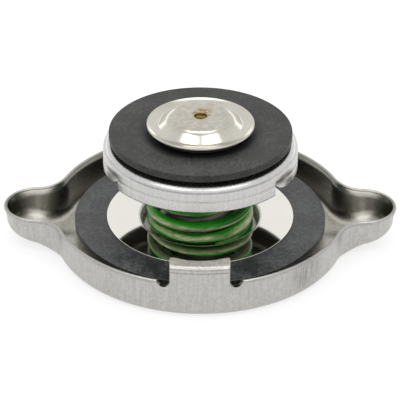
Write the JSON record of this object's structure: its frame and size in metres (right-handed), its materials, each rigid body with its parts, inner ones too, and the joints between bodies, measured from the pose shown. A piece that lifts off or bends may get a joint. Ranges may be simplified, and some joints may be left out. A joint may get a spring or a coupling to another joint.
{
  "type": "radiator cap",
  "caption": "Stamped steel pressure cap for a radiator filler neck, with grip ears, bent locking tabs, a sprung pressure valve and a domed vacuum valve.",
  "frame": {"origin": "middle of the cover's flat outer face, on the valve's axis, where the cap lies on a surface", "axes": "+X along the grip ears, +Y through the locking tabs, +Z along the valve axis from the cover to the vacuum valve"},
  "size_m": [0.0802, 0.0598, 0.0284],
  "materials": {
    "cover_steel": "satin",
    "cup_steel": "satin",
    "polished_steel": "polished",
    "bare_steel": "satin",
    "diaphragm_steel": "satin",
    "gasket_rubber": "matte",
    "seal_rubber": "matte",
    "painted_wire": "satin",
    "stem_brass": "satin"
  },
  "bodies": {
    "cover": {"cover_shell": "cover_steel"},
    "seal_carrier": {"friction_washer": "bare_steel", "spring_diaphragm": "diaphragm_steel", "upper_gasket": "gasket_rubber", "gasket_retainer": "polished_steel", "guide_can": "bare_steel", "centre_rivet": "bare_steel", "pressure_spring": "painted_wire"},
    "pressure_valve": {"valve_cup": "cup_steel", "guide_bush": "bare_steel", "lower_seal": "seal_rubber", "vacuum_spring": "bare_steel"},
    "vacuum_valve": {"vacuum_disc": "polished_steel", "vacuum_stem": "stem_brass", "vacuum_keeper": "bare_steel"}
  },
  "joints": [
    {"name": "cover_swivel", "type": "hinge", "parent": "cover", "child": "seal_carrier", "pos_m": [0, 0, 0], "axis": [0, 0, 1], "continuous": true},
    {"name": "pressure_valve_slide", "type": "slide", "parent": "seal_carrier", "child": "pressure_valve", "axis": [0, 0, -1], "range_m": [0, 0.005], "stiffness_N_per_m": 5200, "springref_m": -0.0005, "deforming": ["pressure_spring"]},
    {"name": "vacuum_valve_slide", "type": "slide", "parent": "pressure_valve", "child": "vacuum_valve", "axis": [0, 0, 1], "range_m": [0, 0.002], "stiffness_N_per_m": 200, "springref_m": -0.0005, "deforming": ["vacuum_spring"]}
  ]
}
